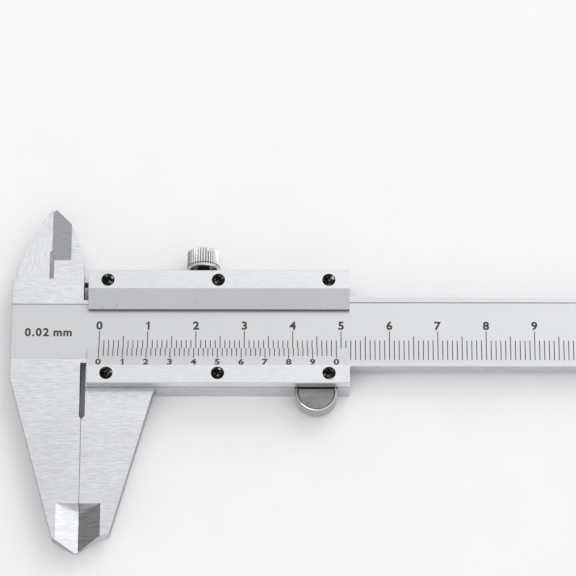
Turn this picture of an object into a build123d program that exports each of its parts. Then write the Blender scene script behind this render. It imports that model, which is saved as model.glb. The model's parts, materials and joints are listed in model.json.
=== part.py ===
from build123d import *
import os

# Vernier caliper, 0 to 150 mm, lying on its back and closed at zero.
#
# X runs along the beam, from the plane where the outside jaws meet.
# Y runs across the beam, from its lower edge towards the inside jaws.
# Z rises from the slider's back face towards the scales.
# Everything is in millimetres.

# ---- Beam and head ---------------------------------------------------------------
travel = 150.0              # how far the slider opens
bar_width = 15.5
bar_thickness = 3.0
head_width = 14.87          # head's outer side to the jaws' contact plane
shoulder_height = 4.1       # head above the beam's top edge
tail_length = 2.65          # beam past the guide plate
scale_recess = 0.15         # satin scale band, below the polished borders
beam_border_low = 1.0
beam_border_top = 1.3
head_border = 1.7
head_band_end = 1.5         # where the head's wide borders turn into the beam's narrow ones

# ---- Outside jaws ----------------------------------------------------------------
jaw_length = 40.0
fixed_tip_width = 5.4       # where the fixed jaw's blunt tip starts
fixed_tip_height = 2.7
fixed_nose_width = 0.9
slider_tip_width = 6.2      # where the movable jaw's blunt tip starts
slider_tip_height = 3.55
slider_step_width = 4.1     # shallow step in the movable jaw's tip
slider_step_height = 2.9
slider_nose_width = 0.3
slider_jaw_short = 0.5      # movable jaw, shorter than the fixed one
head_knee = 2.6             # below the beam's lower edge, where the head starts to taper
jaw_root_width = 14.95      # movable jaw, at the slider's lower side
jaw_root_fillet = 1.8
jaw_root_groove_width = 0.9     # grinding relief across the movable jaw, at the slider's side
jaw_root_groove_depth = 0.25
jaw_relief_length = 11.8    # gap at the root of the jaws
jaw_relief_point = 0.8
fixed_jaw_relief = 0.39
slider_jaw_relief = 0.75
relief_undercut = 0.65      # how far the gap bites into the beam's lower edge
knife_length = 10.0         # bevelled part of each jaw
fixed_knife_width = 4.6
slider_knife_width = 4.4
knife_depth = 2.2
closing_gap = 0.01          # between the closed measuring faces

# ---- Inside jaws, heights above the beam's top edge --------------------------------
inside_edge = 6.87          # measuring edges, left of the outside jaws' contact plane
inside_height = 20.15
inside_nose = 0.67
inside_edge_top = 19.6
fixed_fin_radius = 23.9
fixed_fin_start = 5.0       # where the round side leaves the upright
fixed_fin_chamfer = 16.6    # where the round side ends
slider_fin_side = 14.2
slider_fin_start = 4.5
slider_fin_radius = 38.0
slider_fin_top = 20.45
slider_fin_blunt = 0.3
fixed_fin_relief_top = 9.5
slider_fin_relief_top = 11.1
fixed_fin_relief = 0.41
slider_fin_relief = 0.53
fin_bevel_start = 8.2
fin_bevel_width = 4.0
fin_bevel_depth = 1.05
fin_gap = 0.06              # between the two half-thickness fins
arm_low = 0.4               # arm that carries the slider's fin, behind the head
arm_top = 3.75
arm_notch_top = 3.2
arm_clearance = 0.2
head_notch_depth = 0.8      # undercut in the beam's top edge beside the head

# ---- Slider ----------------------------------------------------------------------
slider_start = 1.03
slider_length = 54.1
back_thickness = 2.3
lower_rail_width = 4.6
upper_rail_width = 3.95
gib_slot = 1.05             # between the beam's top edge and the upper rail
edge_clearance = 0.05       # slider to beam, across the width
face_clearance = 0.03       # slider to beam, front and back

# ---- Front strips ----------------------------------------------------------------
strip_thickness = 2.34
vernier_edge_thickness = 0.3
upper_edge_thickness = 0.5
strip_corner = 0.15
vernier_flat = 3.95
vernier_bevel = 4.55
upper_flat = 4.1
upper_bevel = 4.0
strip_screw_inset = 2.2     # from the strip's outer side
strip_screw_start = 4.0     # outer screws, from the strip's left and right ends
strip_screw_end = 4.3

# ---- Small screws (threads are plain) ----------------------------------------------
small_head_radius = 1.3
small_head_height = 0.9
small_head_proud = 0.2
small_shank_radius = 0.8
small_recess_width = 0.34
small_recess_span = 1.5
small_recess_depth = 0.45
head_pocket_clearance = 0.06
thread_clearance = 0.02
screw_floor = 0.6           # metal left under the strip screws' ends

# ---- Gib, its set screws and the lock screw ----------------------------------------
gib_thickness = 0.8
gib_bar_gap = 0.13
gib_face_gap = 0.2          # gib's faces, inside the beam's faces
gib_end_gap = 1.0
gib_screw_radius = 1.0
gib_screw_inset = 8.5
gib_screw_gap = 0.03
gib_screw_sunk = 0.2
gib_screw_slot = 0.4
gib_screw_slot_depth = 0.5
lock_offset = 3.2           # left of the middle strip screw
lock_shank_radius = 1.25
lock_head_radius = 3.45
lock_head_length = 4.1
lock_neck = 1.6             # from the slider's top side to the knurled head
lock_head_chamfer = 0.4
lock_slot_width = 1.0
lock_slot_depth = 1.1
lock_undercut_radius = 2.7
lock_undercut_depth = 0.5
dog_radius = 0.6            # point that sits in the gib
dog_depth = 0.4
dog_clearance = 0.05

# ---- Thumb rest ------------------------------------------------------------------
thumb_radius = 4.43
thumb_thickness = 3.6
thumb_from_end = 6.9        # its centre, from the slider's right end
thumb_offset = 0.9          # its centre, outside the slider's lower side
thumb_sunk = 0.2            # its front face, under the vernier strip
thumb_rim = 0.75
thumb_dish = 0.25
thumb_chamfer = 0.3
thumb_clearance = 0.05

# ---- Depth rod and the tail's guide plate ------------------------------------------
rod_width = 2.5
rod_thickness = 1.2
rod_groove_depth = 1.5
rod_side_clearance = 0.05
rod_back_clearance = 0.1
rod_foot_start = 31.0       # from the slider's left end
rod_foot_length = 12.0
rod_groove_lead = 1.0
rod_tip_length = 3.0
rod_tip_width = 1.2
rod_screw_inset = 3.0
rod_screw_recess = 1.1
guide_plate_length = 11.0
guide_plate_width = 12.0
guide_plate_thickness = 1.2
guide_plate_stop_gap = 1.5  # slider's end to the plate at full travel
guide_screw_spacing = 8.0
guide_screw_head_radius = 1.7
guide_screw_head_height = 0.8
guide_screw_radius = 1.0
guide_screw_depth = 2.2

# ---- Planes and places worked out from the sizes above ------------------------------
bar_back = back_thickness + face_clearance
bar_front = bar_back + bar_thickness
bar_middle = bar_back + bar_thickness / 2
rail_front = bar_front + face_clearance
strip_front = rail_front + strip_thickness

slider_end = slider_start + slider_length
slider_low = -edge_clearance - lower_rail_width
upper_rail_low = bar_width + gib_slot
slider_top = upper_rail_low + upper_rail_width

plate_start = slider_end + travel + guide_plate_stop_gap
bar_end = plate_start + guide_plate_length + tail_length
bar_axis = bar_width / 2

screw_pitch = (slider_length - strip_screw_start - strip_screw_end) / 2
screw_columns = [slider_start + strip_screw_start + i * screw_pitch for i in range(3)]
column_names = ["left", "middle", "right"]
vernier_screw_y = slider_low + strip_screw_inset
upper_screw_y = slider_top - strip_screw_inset
lock_x = screw_columns[1] - lock_offset
gib_screw_columns = [slider_start + gib_screw_inset, slider_end - gib_screw_inset]
gib_back = bar_width + gib_bar_gap + gib_thickness

thumb_x = slider_end - thumb_from_end
thumb_y = slider_low - thumb_offset
thumb_front = rail_front - thumb_sunk
thumb_back = thumb_front - thumb_thickness

foot_start = slider_start + rod_foot_start
foot_end = foot_start + rod_foot_length
rod_back = bar_back + rod_back_clearance
rod_front = rod_back + rod_thickness
rod_screw_columns = [foot_start + rod_screw_inset, foot_end - rod_screw_inset]
guide_screw_x = plate_start + guide_plate_length / 2
guide_screw_rows = [bar_axis + guide_screw_spacing / 2, bar_axis - guide_screw_spacing / 2]

os.makedirs("parts", exist_ok=True)


def write(piece, name):
    """Label a finished piece and write it as its own STEP file."""
    piece.part.label = name
    export_step(piece.part, f"parts/{name}.step")


def across(x, y):
    """Plane that faces +Y at the beam's mid thickness, for what is drilled across the beam."""
    return Plane(origin=(x, y, bar_middle), x_dir=(1, 0, 0), z_dir=(0, 1, 0))


def front_at(x, y, z):
    """Plane that faces the scale side."""
    return Plane(origin=(x, y, z))


def back_at(x, y, z):
    """Plane that faces the back."""
    return Plane(origin=(x, y, z), x_dir=(1, 0, 0), z_dir=(0, 0, -1))


def block(x_span, y_span, z_span, mode=Mode.ADD):
    """Rectangular block between two values on each axis."""
    with BuildSketch(Plane.XY.offset(z_span[0])) as base:
        with Locations((sum(x_span) / 2, sum(y_span) / 2)):
            Rectangle(x_span[1] - x_span[0], y_span[1] - y_span[0])
    extrude(base.sketch, amount=z_span[1] - z_span[0], mode=mode)


def knife_cut(side, edge_x, width, face_z, depth, y_span):
    """Cut a bevel that runs along Y, deepest at the measuring edge. side is the way it climbs."""
    with BuildSketch(Plane.XZ.offset(-y_span[1])) as bevel:
        with BuildLine():
            Polyline(
                (edge_x - side, face_z),
                (edge_x + side * width, face_z),
                (edge_x, face_z - depth),
                (edge_x - side, face_z - depth),
                close=True,
            )
        make_face()
    extrude(bevel.sketch, amount=y_span[1] - y_span[0], mode=Mode.SUBTRACT)


# ---- Main beam: beam, head and both fixed jaws, one piece of steel -------------------
with BuildPart() as main_beam:
    with BuildSketch(Plane.XY.offset(bar_back)):
        with BuildLine():
            Polyline(
                (0, 0),
                (0, -jaw_length),
                (-fixed_nose_width, -jaw_length),
                (-fixed_tip_width, -jaw_length + fixed_tip_height),
                (-head_width, -head_knee),
                (-head_width, bar_width + arm_clearance),
                (0, bar_width + arm_clearance),
                (0, bar_width),
                (bar_end, bar_width),
                (bar_end, 0),
                close=True,
            )
        make_face()
    extrude(amount=bar_thickness)

    # Shoulder and fixed inside jaw: the front half of the thickness only, so that the
    # slider's inside jaw and its arm pass behind them.
    fin_y = bar_width + fixed_fin_start
    fin_centre = (-fixed_fin_radius, fin_y)
    chamfer_y = bar_width + fixed_fin_chamfer
    chamfer_x = -fixed_fin_radius + (fixed_fin_radius**2 - (chamfer_y - fin_y) ** 2) ** 0.5
    fixed_edge = -inside_edge
    with BuildSketch(Plane.XY.offset(bar_middle + fin_gap / 2)):
        with BuildLine():
            Polyline(
                (chamfer_x, chamfer_y),
                (fixed_edge + inside_nose, bar_width + inside_height),
                (fixed_edge, bar_width + inside_edge_top),
                (fixed_edge, bar_width + fixed_fin_relief_top),
                (fixed_edge + fixed_fin_relief, bar_width + fixed_fin_relief_top - fixed_fin_relief),
                (fixed_edge + fixed_fin_relief, bar_width + shoulder_height),
                (-head_width, bar_width + shoulder_height),
                (-head_width, bar_width),
                (0, bar_width),
                (0, fin_y),
            )
            RadiusArc((0, fin_y), (chamfer_x, chamfer_y), -fixed_fin_radius)
        make_face()
    extrude(amount=bar_thickness / 2 - fin_gap / 2)

    # Knife edges on the front of the outside jaw and of the inside jaw.
    knife_cut(-1, 0, fixed_knife_width, bar_front, knife_depth, (-jaw_length - 1, -jaw_length + knife_length))
    knife_cut(
        1, -inside_edge, fin_bevel_width, bar_front, fin_bevel_depth,
        (bar_width + fin_bevel_start, bar_width + inside_height + 1),
    )

    # Relief gap at the root of the outside jaws, with a pointed lower end.
    with BuildSketch(Plane.XY.offset(bar_back)):
        with BuildLine():
            Polyline(
                (0, -jaw_relief_length),
                (-fixed_jaw_relief, -jaw_relief_length + jaw_relief_point),
                (-fixed_jaw_relief, relief_undercut),
                (slider_jaw_relief, relief_undercut),
                (slider_jaw_relief, -jaw_relief_length),
                close=True,
            )
        make_face()
    extrude(amount=bar_thickness, mode=Mode.SUBTRACT)

    # Undercut beside the head's shoulder.
    block((0, slider_start), (bar_width - head_notch_depth, bar_width), (bar_back, bar_front), Mode.SUBTRACT)

    # Shallow satin band for the main scale: wide borders on the head, narrow on the beam.
    recess_z = (bar_front - scale_recess, bar_front)
    block((-head_width, head_band_end), (head_border, bar_width - head_border), recess_z, Mode.SUBTRACT)
    block((head_band_end, bar_end), (beam_border_low, bar_width - beam_border_top), recess_z, Mode.SUBTRACT)

    # Groove for the depth rod, along the back and open at the tail.
    groove_half = rod_width / 2 + rod_side_clearance
    block(
        (foot_start - rod_groove_lead, bar_end), (bar_axis - groove_half, bar_axis + groove_half),
        (bar_back, bar_back + rod_groove_depth), Mode.SUBTRACT,
    )

    # Threaded holes for the guide plate.
    with Locations(*[back_at(guide_screw_x, y, bar_back) for y in guide_screw_rows]):
        Hole(guide_screw_radius + thread_clearance, guide_screw_depth)
write(main_beam, "main_beam")


# ---- Slider body: channel with the movable jaws --------------------------------------
with BuildPart() as slider_body:
    slider_x = (slider_start, slider_end)
    block(slider_x, (slider_low, slider_top), (0, back_thickness))
    block(slider_x, (slider_low, -edge_clearance), (back_thickness, rail_front))
    block(slider_x, (upper_rail_low, slider_top), (back_thickness, rail_front))

    # Movable outside jaw, as thick as the beam, rounded into the slider's lower side.
    with BuildSketch(Plane.XY.offset(bar_back)):
        with BuildLine():
            Polyline(
                (slider_jaw_relief, -edge_clearance),
                (slider_jaw_relief, -jaw_relief_length + jaw_relief_point),
                (closing_gap, -jaw_relief_length),
                (closing_gap, -jaw_length + slider_jaw_short),
                (slider_nose_width, -jaw_length + slider_jaw_short),
                (slider_step_width, -jaw_length + slider_step_height),
                (slider_tip_width, -jaw_length + slider_tip_height),
                (jaw_root_width, slider_low),
                (slider_end, slider_low),
                (slider_end, -edge_clearance),
                close=True,
            )
        make_face()
        jaw_root = vertices().sort_by_distance((jaw_root_width, slider_low, bar_back))[0]
        fillet(jaw_root, jaw_root_fillet)
    extrude(amount=bar_thickness)

    # Movable inside jaw and the arm that carries it, both in the back half of the thickness.
    fin_y = bar_width + slider_fin_start
    tip_y = bar_width + slider_fin_top
    edge_x = -inside_edge - closing_gap
    with BuildSketch(Plane.XY.offset(bar_back)):
        with BuildLine():
            Polyline(
                (edge_x - slider_fin_blunt, tip_y),
                (edge_x, tip_y - slider_fin_blunt),
                (edge_x, bar_width + slider_fin_relief_top),
                (edge_x - slider_fin_relief, bar_width + slider_fin_relief_top - slider_fin_relief),
                (edge_x - slider_fin_relief, bar_width + arm_top),
                (slider_start, bar_width + arm_top),
                (slider_start, slider_top),
                (slider_start + upper_rail_width, slider_top),
                (slider_start + upper_rail_width, bar_width + arm_notch_top),
                (0, bar_width + arm_notch_top),
                (0, bar_width + arm_low),
                (-slider_fin_side, bar_width + arm_low),
                (-slider_fin_side, fin_y),
            )
            RadiusArc((-slider_fin_side, fin_y), (edge_x - slider_fin_blunt, tip_y), slider_fin_radius)
        make_face()
    extrude(amount=bar_thickness / 2 - fin_gap / 2)

    # Knife edges: on the front of the outside jaw, on the back of the inside jaw.
    knife_cut(1, 0, slider_knife_width, bar_front, knife_depth, (-jaw_length - 1, -jaw_length + knife_length))
    knife_cut(
        -1, edge_x, fin_bevel_width, bar_back, -fin_bevel_depth,
        (bar_width + fin_bevel_start, bar_width + inside_height + 1),
    )

    # Shallow groove where the movable jaw's ground face ends at the slider's side.
    block(
        (slider_jaw_relief, jaw_root_width), (slider_low - jaw_root_groove_width, slider_low),
        (bar_front - jaw_root_groove_depth, bar_front), Mode.SUBTRACT,
    )

    # Slot in the lower rail for the thumb rest.
    with BuildSketch(Plane.XY.offset(thumb_back - thumb_clearance)):
        with Locations((thumb_x, thumb_y)):
            Circle(thumb_radius + thumb_clearance)
    extrude(amount=rail_front - thumb_back + thumb_clearance, mode=Mode.SUBTRACT)

    # Threaded holes for the strips' screws, down into the back plate.
    strip_screw_spots = [(x, y, rail_front) for y in (vernier_screw_y, upper_screw_y) for x in screw_columns]
    with Locations(*[front_at(*spot) for spot in strip_screw_spots]):
        Hole(small_shank_radius + thread_clearance, rail_front - screw_floor)

    # Lock screw and gib screws, through the upper rail.
    with Locations(across(lock_x, slider_top)):
        Hole(lock_shank_radius + thread_clearance, upper_rail_width)
    with Locations(*[across(x, slider_top) for x in gib_screw_columns]):
        Hole(gib_screw_radius + thread_clearance, upper_rail_width)

    # Counterbored holes for the depth rod's screws, from the back.
    with Locations(*[back_at(x, bar_axis, 0) for x in rod_screw_columns]):
        CounterBoreHole(
            small_shank_radius + thread_clearance, small_head_radius + head_pocket_clearance,
            rod_screw_recess, back_thickness,
        )
write(slider_body, "slider_body")


def strip(outer_y, flat, bevel, edge_thickness, side, screw_y):
    """Front strip: a flat that is screwed to a rail and a bevel that thins out over the beam."""
    with BuildPart() as piece:
        with BuildSketch(Plane.YZ.offset(slider_start)):
            with BuildLine():
                Polyline(
                    (outer_y, rail_front),
                    (outer_y, strip_front - strip_corner),
                    (outer_y + side * strip_corner, strip_front),
                    (outer_y + side * flat, strip_front),
                    (outer_y + side * (flat + bevel), rail_front + edge_thickness),
                    (outer_y + side * (flat + bevel), rail_front),
                    close=True,
                )
            make_face()
        extrude(amount=slider_length)
        with Locations(*[front_at(x, screw_y, strip_front) for x in screw_columns]):
            CounterBoreHole(
                small_shank_radius + thread_clearance, small_head_radius + head_pocket_clearance,
                small_head_height - small_head_proud, strip_thickness,
            )
    return piece


vernier_strip = strip(slider_low, vernier_flat, vernier_bevel, vernier_edge_thickness, 1, vernier_screw_y)
write(vernier_strip, "vernier_strip")
upper_strip = strip(slider_top, upper_flat, upper_bevel, upper_edge_thickness, -1, upper_screw_y)
write(upper_strip, "upper_strip")


def small_screw(seat, shank_length):
    """Cross-recessed pan screw. seat is the plane under its head, facing out of the hole."""
    with BuildPart() as piece:
        with BuildSketch(seat):
            Circle(small_head_radius)
        extrude(amount=small_head_height)
        rim = piece.faces().sort_by(Axis(seat.origin, seat.z_dir))[-1].edges()
        chamfer(rim, strip_corner)
        with BuildSketch(seat):
            Circle(small_shank_radius)
        extrude(amount=-shank_length)
        with BuildSketch(seat.offset(small_head_height)):
            Rectangle(small_recess_span, small_recess_width)
            Rectangle(small_recess_width, small_recess_span)
        extrude(amount=-small_recess_depth, mode=Mode.SUBTRACT)
    return piece


strip_seat = strip_front - small_head_height + small_head_proud
for x, side in zip(screw_columns, column_names):
    for y, place in ((vernier_screw_y, "vernier"), (upper_screw_y, "upper")):
        screw = small_screw(front_at(x, y, strip_seat), strip_seat - screw_floor - thread_clearance)
        write(screw, f"{place}_strip_screw_{side}")


# ---- Gib: thin strip between the beam's top edge and the upper rail -------------------
with BuildPart() as gib:
    block(
        (slider_start + gib_end_gap, slider_end - gib_end_gap), (bar_width + gib_bar_gap, gib_back),
        (bar_back + gib_face_gap, bar_front - gib_face_gap),
    )
    with Locations(across(lock_x, gib_back)):
        Hole(dog_radius + dog_clearance, dog_depth + dog_clearance)
write(gib, "gib")

for x, side in zip(gib_screw_columns, ("left", "right")):
    outer_y = slider_top - gib_screw_sunk
    with BuildPart() as gib_screw:
        with BuildSketch(across(x, outer_y)):
            Circle(gib_screw_radius)
        extrude(amount=-(outer_y - gib_back - gib_screw_gap))
        with BuildSketch(across(x, outer_y)):
            Rectangle(2 * gib_screw_radius, gib_screw_slot)
        extrude(amount=-gib_screw_slot_depth, mode=Mode.SUBTRACT)
    write(gib_screw, f"gib_screw_{side}")


# ---- Lock screw: knurled head, slotted end, dog point in the gib ----------------------
head_base = slider_top + lock_neck
head_end = head_base + lock_head_length
with BuildPart() as lock_screw:
    with BuildSketch(across(lock_x, head_base)):
        Circle(lock_head_radius)
    extrude(amount=lock_head_length)
    chamfer(lock_screw.edges().filter_by(GeomType.CIRCLE), lock_head_chamfer)
    with BuildSketch(across(lock_x, head_base)):
        Circle(lock_undercut_radius)
    extrude(amount=lock_undercut_depth, mode=Mode.SUBTRACT)
    with BuildSketch(across(lock_x, head_base + lock_undercut_depth)):
        Circle(lock_shank_radius)
    extrude(amount=-(head_base + lock_undercut_depth - gib_back - dog_clearance))
    with BuildSketch(across(lock_x, gib_back + dog_clearance)):
        Circle(dog_radius)
    extrude(amount=-dog_depth)
    with BuildSketch(across(lock_x, head_end)):
        Rectangle(2 * lock_head_radius, lock_slot_width)
    extrude(amount=-lock_slot_depth, mode=Mode.SUBTRACT)
write(lock_screw, "lock_screw")


# ---- Thumb rest: disc clamped in the lower rail, notched for the strip's screw ---------
with BuildPart() as thumb_rest:
    with BuildSketch(front_at(thumb_x, thumb_y, thumb_back)):
        Circle(thumb_radius)
    extrude(amount=thumb_thickness)
    chamfer(thumb_rest.edges().filter_by(GeomType.CIRCLE), thumb_chamfer)
    with BuildSketch(front_at(thumb_x, thumb_y, thumb_front)):
        Circle(thumb_radius - thumb_rim)
    extrude(amount=-thumb_dish, mode=Mode.SUBTRACT)
    with Locations(front_at(screw_columns[2], vernier_screw_y, rail_front)):
        Hole(small_shank_radius + thumb_clearance)
write(thumb_rest, "thumb_rest")


# ---- Depth rod: foot under the slider, flush with the beam's end at zero ---------------
with BuildPart() as depth_rod:
    rod_y = (bar_axis - rod_width / 2, bar_axis + rod_width / 2)
    block((foot_start, foot_end), rod_y, (back_thickness, rod_front))
    block((foot_end, bar_end - rod_tip_length), rod_y, (rod_back, rod_front))
    block((bar_end - rod_tip_length, bar_end), (rod_y[0], rod_y[0] + rod_tip_width), (rod_back, rod_front))
    with Locations(*[back_at(x, bar_axis, back_thickness) for x in rod_screw_columns]):
        Hole(small_shank_radius + thread_clearance)
write(depth_rod, "depth_rod")

for x, side in zip(rod_screw_columns, ("left", "right")):
    rod_screw = small_screw(back_at(x, bar_axis, rod_screw_recess), rod_front - rod_screw_recess)
    write(rod_screw, f"depth_rod_screw_{side}")


# ---- Guide plate on the back of the beam's tail ----------------------------------------
plate_back = bar_back - guide_plate_thickness
with BuildPart() as tail_guide_plate:
    block(
        (plate_start, plate_start + guide_plate_length),
        (bar_axis - guide_plate_width / 2, bar_axis + guide_plate_width / 2), (plate_back, bar_back),
    )
    fillet(tail_guide_plate.edges().filter_by(Axis.Z), guide_screw_radius)
    with Locations(*[back_at(guide_screw_x, y, plate_back) for y in guide_screw_rows]):
        Hole(guide_screw_radius + thread_clearance, guide_plate_thickness)
write(tail_guide_plate, "tail_guide_plate")

for y, side in zip(guide_screw_rows, ("upper", "lower")):
    with BuildPart() as tail_screw:
        with BuildSketch(back_at(guide_screw_x, y, plate_back)):
            Circle(guide_screw_head_radius)
        extrude(amount=guide_screw_head_height)
        with BuildSketch(back_at(guide_screw_x, y, plate_back)):
            Circle(guide_screw_radius)
        extrude(amount=-(guide_plate_thickness + guide_screw_depth - thread_clearance))
        with BuildSketch(back_at(guide_screw_x, y, plate_back - guide_screw_head_height)):
            Rectangle(2 * guide_screw_head_radius, gib_screw_slot)
        extrude(amount=-gib_screw_slot_depth, mode=Mode.SUBTRACT)
    write(tail_screw, f"tail_plate_screw_{side}")
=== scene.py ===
# %% [markdown]
# # A vernier caliper
# A 150 mm caliper lies closed on a white bench. It is almost all one metal, so the picture
# depends on finish: ground faces, a satin scale band, bare bevels, plated knobs, black screws.
# The CAD model brings the shapes. This script adds soft edges, engraved scales, knurls and
# screw heads, and gives every surface its own finish.

# %% Setup: load the fixed frame
import json
import math

import bmesh
import bpy
from mathutils import Matrix, Vector

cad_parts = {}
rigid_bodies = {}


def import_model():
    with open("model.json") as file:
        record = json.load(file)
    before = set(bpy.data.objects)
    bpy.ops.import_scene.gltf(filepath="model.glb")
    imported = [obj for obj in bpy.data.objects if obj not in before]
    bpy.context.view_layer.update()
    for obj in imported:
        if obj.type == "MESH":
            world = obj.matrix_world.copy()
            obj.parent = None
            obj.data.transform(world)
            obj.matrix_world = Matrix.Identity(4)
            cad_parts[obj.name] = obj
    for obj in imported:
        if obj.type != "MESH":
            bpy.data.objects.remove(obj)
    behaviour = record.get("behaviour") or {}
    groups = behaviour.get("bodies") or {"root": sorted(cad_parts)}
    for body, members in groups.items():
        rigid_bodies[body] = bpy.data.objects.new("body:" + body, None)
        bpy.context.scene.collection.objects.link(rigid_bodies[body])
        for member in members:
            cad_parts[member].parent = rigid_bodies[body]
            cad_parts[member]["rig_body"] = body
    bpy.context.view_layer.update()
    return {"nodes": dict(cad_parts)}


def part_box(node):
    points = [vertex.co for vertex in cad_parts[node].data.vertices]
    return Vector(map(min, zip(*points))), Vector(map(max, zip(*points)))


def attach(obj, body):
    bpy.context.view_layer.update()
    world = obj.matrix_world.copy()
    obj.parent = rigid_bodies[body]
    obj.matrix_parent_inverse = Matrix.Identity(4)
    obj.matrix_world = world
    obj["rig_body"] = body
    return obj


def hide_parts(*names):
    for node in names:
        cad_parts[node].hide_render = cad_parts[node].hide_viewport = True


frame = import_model()
nodes = frame["nodes"]
scene = bpy.context.scene
MM = 0.001
print("CAD nodes:", len(nodes))

# %% [markdown]
# ## Places
# Every place comes from the CAD boxes. The origin is where the outside jaws meet, at the
# beam's lower edge, so the scales need only a few sizes of their own.

# %% Sizes read from the frame
beam_low, beam_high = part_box("main_beam")
rod_low, rod_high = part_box("depth_rod")
strip_low, strip_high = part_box("vernier_strip")
upper_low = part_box("upper_strip")[0]
beam_width = rod_low.y + rod_high.y
beam_front = beam_high.z
band_depth = 0.15 * MM
band_front = beam_front - band_depth
thumb_low, thumb_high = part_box("thumb_rest")
thumb_radius = (thumb_high.x - thumb_low.x) / 2
thumb_x = (thumb_low.x + thumb_high.x) / 2
thumb_y = (thumb_low.y + thumb_high.y) / 2
print("beam width (mm):", round(beam_width / MM, 2))
print("thumb rest radius (mm):", round(thumb_radius / MM, 2))

# %% [markdown]
# ## Small helpers
# A finished piece sits at the origin with its place in its mesh, so one helper makes an
# object from mesh data and another one bakes modifiers into plain mesh data.


# %% Helpers for meshes
def new_object(name, mesh):
    """Link a mesh to the scene as an object at the origin."""
    obj = bpy.data.objects.new(name, mesh)
    scene.collection.objects.link(obj)
    return obj


def mesh_from(build, name):
    """Run build(bm) on an empty bmesh and return it as mesh data."""
    bm = bmesh.new()
    build(bm)
    bmesh.ops.remove_doubles(bm, verts=bm.verts, dist=1e-7)
    bmesh.ops.recalc_face_normals(bm, faces=bm.faces)
    mesh = bpy.data.meshes.new(name)
    bm.to_mesh(mesh)
    bm.free()
    return mesh


def bake(obj):
    """Turn an object's modifiers into plain mesh data and remove them."""
    depsgraph = bpy.context.evaluated_depsgraph_get()
    mesh = bpy.data.meshes.new_from_object(obj.evaluated_get(depsgraph))
    mesh.name = obj.name
    obj.modifiers.clear()
    old = obj.data
    obj.data = mesh
    bpy.data.meshes.remove(old)
    return obj


def smooth_by_angle(mesh, degrees):
    """Round faces shade smoothly, and edges sharper than the angle stay crisp."""
    mesh.polygons.foreach_set("use_smooth", [True] * len(mesh.polygons))
    mesh.set_sharp_from_angle(angle=math.radians(degrees))


# %% [markdown]
# ## Finishes
# All metals are one shader with different inputs: a colour, a roughness, and a grain. Grain
# is noise stretched along one axis of the piece's own Object coordinates, so it stays on the
# piece when the slider moves. It drives roughness, colour and a very small bump.
#
# Noise scales are in waves per metre. A grinding stroke is about 2 mm long and a quarter of a
# millimetre wide, and a scratch is longer and finer, so each has one scale along the grain and
# one across it. One small class holds the node operations, so that a finish reads like a list
# of steps.

# %% Scales of the grain
COOL = (0.985, 1.0, 1.01)
STROKE_ACROSS = 4200.0
STROKE_ALONG = 520.0
SCRATCH_ACROSS = 9000.0
SCRATCH_ALONG = 130.0
GRIT = 9000.0
print("stroke width (mm):", round(1000 / STROKE_ACROSS, 2))


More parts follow.
